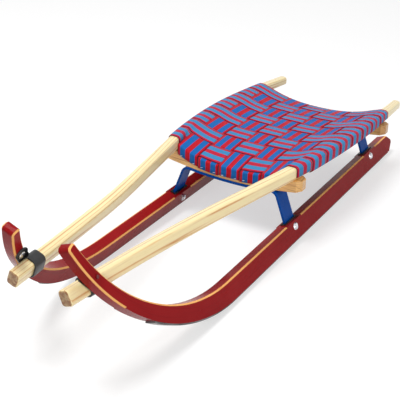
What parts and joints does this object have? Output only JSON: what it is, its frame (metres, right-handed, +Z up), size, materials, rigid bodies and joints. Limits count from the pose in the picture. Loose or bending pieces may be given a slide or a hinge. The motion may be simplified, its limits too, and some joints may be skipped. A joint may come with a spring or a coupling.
{
  "type": "luge sled",
  "caption": "Wooden luge sled with canted steel-shod runners that curve up into horns, bowed rails, steel brackets and a woven webbing seat.",
  "frame": {"origin": "on the floor, under the middle of the rails' length and half way between the runners", "axes": "+X to the rider's left, +Y to the rear handles with the horns at -Y, +Z up"},
  "size_m": [0.3386, 1.077, 0.2467],
  "materials": {
    "pale_ash": "clear varnish over straight-grained ash",
    "yoke_wood": "clear varnish over laminated ash, a little darker",
    "red_lacquer": "gloss dark red lacquer, bevels left bare",
    "blue_enamel": "gloss blue enamel on flat steel bar",
    "strip_steel": "plain steel, polished by use along its edge",
    "zinc_bolt": "bright zinc plating",
    "black_rubber": "matt black rubber",
    "webbing": "woven polyester webbing with red and blue stripes"
  },
  "bodies": {
    "frame": {"cross_band_1": "webbing", "cross_band_2": "webbing", "cross_band_3": "webbing", "cross_band_4": "webbing", "cross_band_5": "webbing", "cross_band_6": "webbing", "cross_band_7": "webbing", "cross_band_8": "webbing", "long_band_1": "webbing", "long_band_2": "webbing", "long_band_3": "webbing", "long_band_4": "webbing", "long_band_5": "webbing", "front_yoke": "yoke_wood", "front_bracket": "blue_enamel", "rear_yoke": "yoke_wood", "rear_bracket": "blue_enamel", "rail_left": "pale_ash", "rail_right": "pale_ash"},
    "runner_left": {"runner_left": "red_lacquer", "running_strip_left": "strip_steel", "horn_strap_left": "black_rubber", "horn_strap_bolt_left": "zinc_bolt", "front_bolt_left": "zinc_bolt", "front_slot_gasket_left": "black_rubber", "rear_bolt_left": "zinc_bolt", "rear_slot_gasket_left": "black_rubber"},
    "runner_right": {"runner_right": "red_lacquer", "running_strip_right": "strip_steel", "horn_strap_right": "black_rubber", "horn_strap_bolt_right": "zinc_bolt", "front_bolt_right": "zinc_bolt", "front_slot_gasket_right": "black_rubber", "rear_bolt_right": "zinc_bolt", "rear_slot_gasket_right": "black_rubber"}
  },
  "joints": [
    {"name": "runner_tilt_left", "type": "hinge", "parent": "frame", "child": "runner_left", "pos_m": [0.12789, 0.0365, 0.02956], "axis": [0, 1, 0], "range_deg": [-1, 3], "stiffness_Nm_per_rad": 40, "deforming": ["horn_strap_left"]},
    {"name": "runner_tilt_right", "type": "hinge", "parent": "frame", "child": "runner_right", "pos_m": [-0.12789, 0.0365, 0.02956], "axis": [0, -1, 0], "range_deg": [-1, 3], "stiffness_Nm_per_rad": 40, "deforming": ["horn_strap_right"]}
  ]
}
